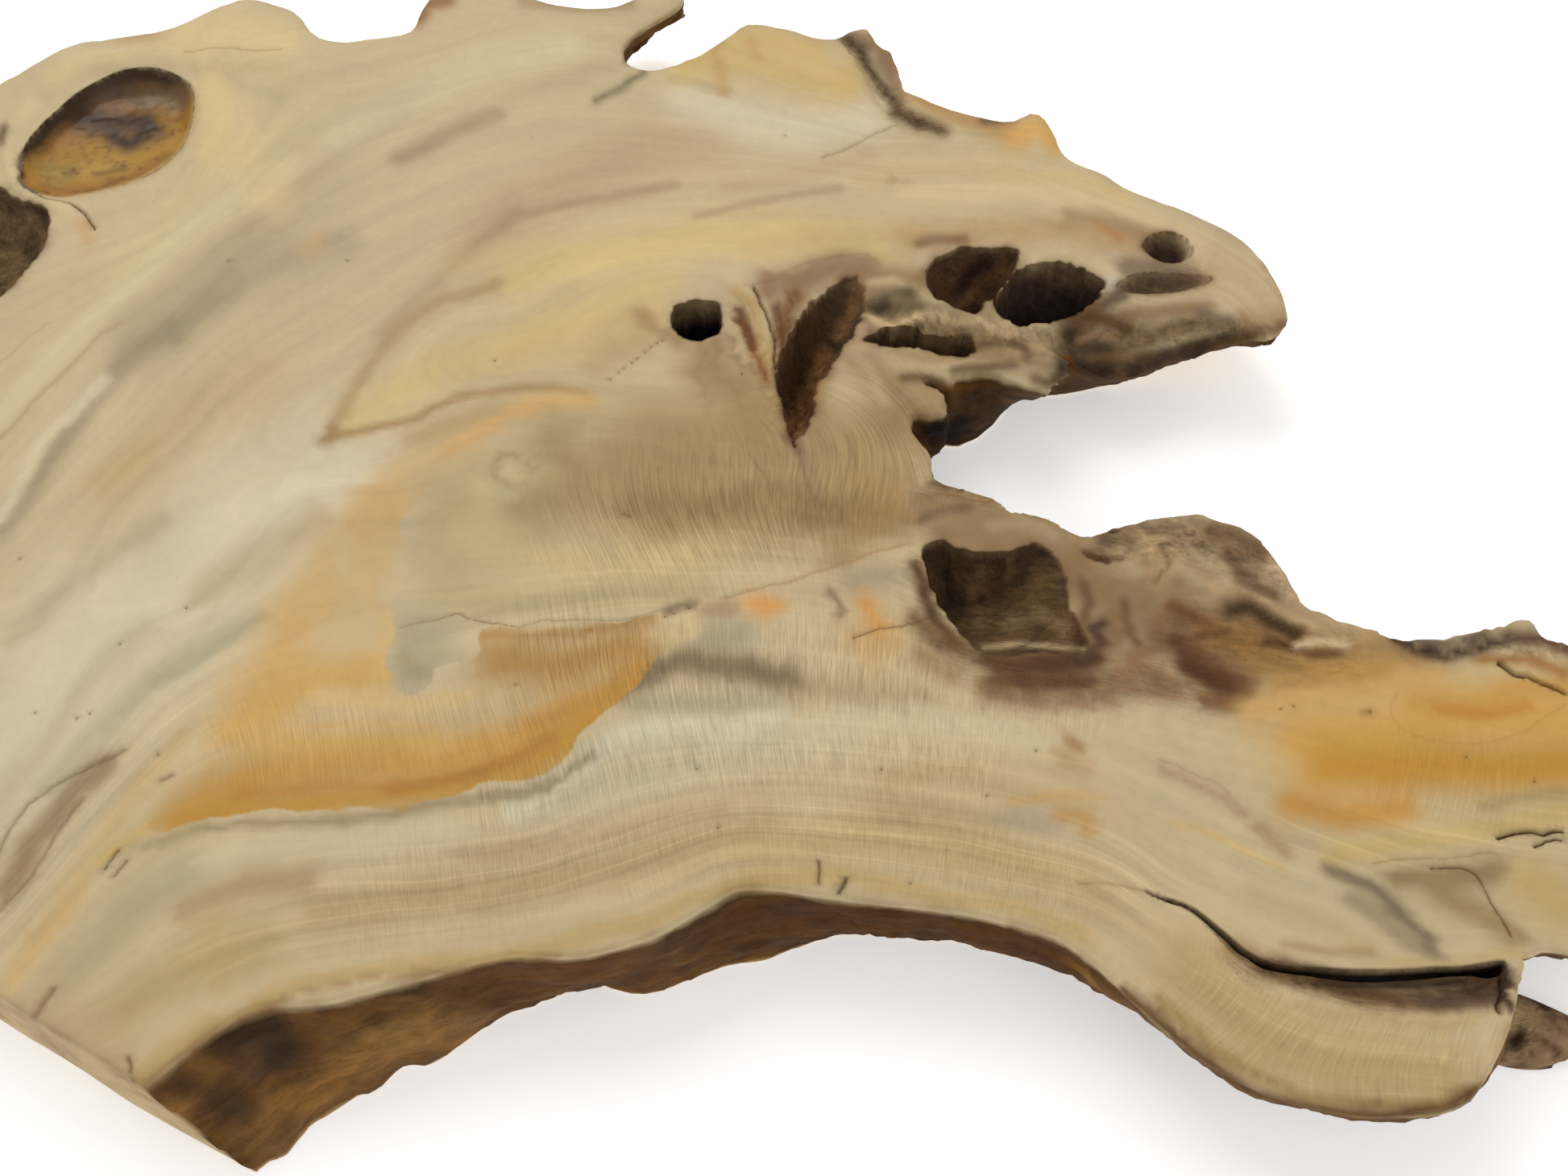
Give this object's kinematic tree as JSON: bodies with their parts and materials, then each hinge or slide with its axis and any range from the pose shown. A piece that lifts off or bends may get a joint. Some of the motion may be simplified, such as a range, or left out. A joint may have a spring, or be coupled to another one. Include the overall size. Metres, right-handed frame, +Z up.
{
  "type": "live-edge wood slice",
  "caption": "Flat sawn slab of gnarled elder wood with a live edge, rot hollows, a knot, a long crack and an open bay between its arms.",
  "frame": {"origin": "centre of the bounding box in plan, on the flat sawn underside", "axes": "+X along the slab's greatest length, from the sawn stem end towards the tips of the arms; +Y across it, away from the front edge; +Z up out of the sanded face"},
  "size_m": [0.3804, 0.2908, 0.0282],
  "materials": {
    "elder_wood": "sanded to a soft sheen on the face, raw and dark on the bark side and in the hollows"
  },
  "bodies": {
    "root": {"elderberry_wood_slice": "elder_wood"}
  },
  "joints": []
}
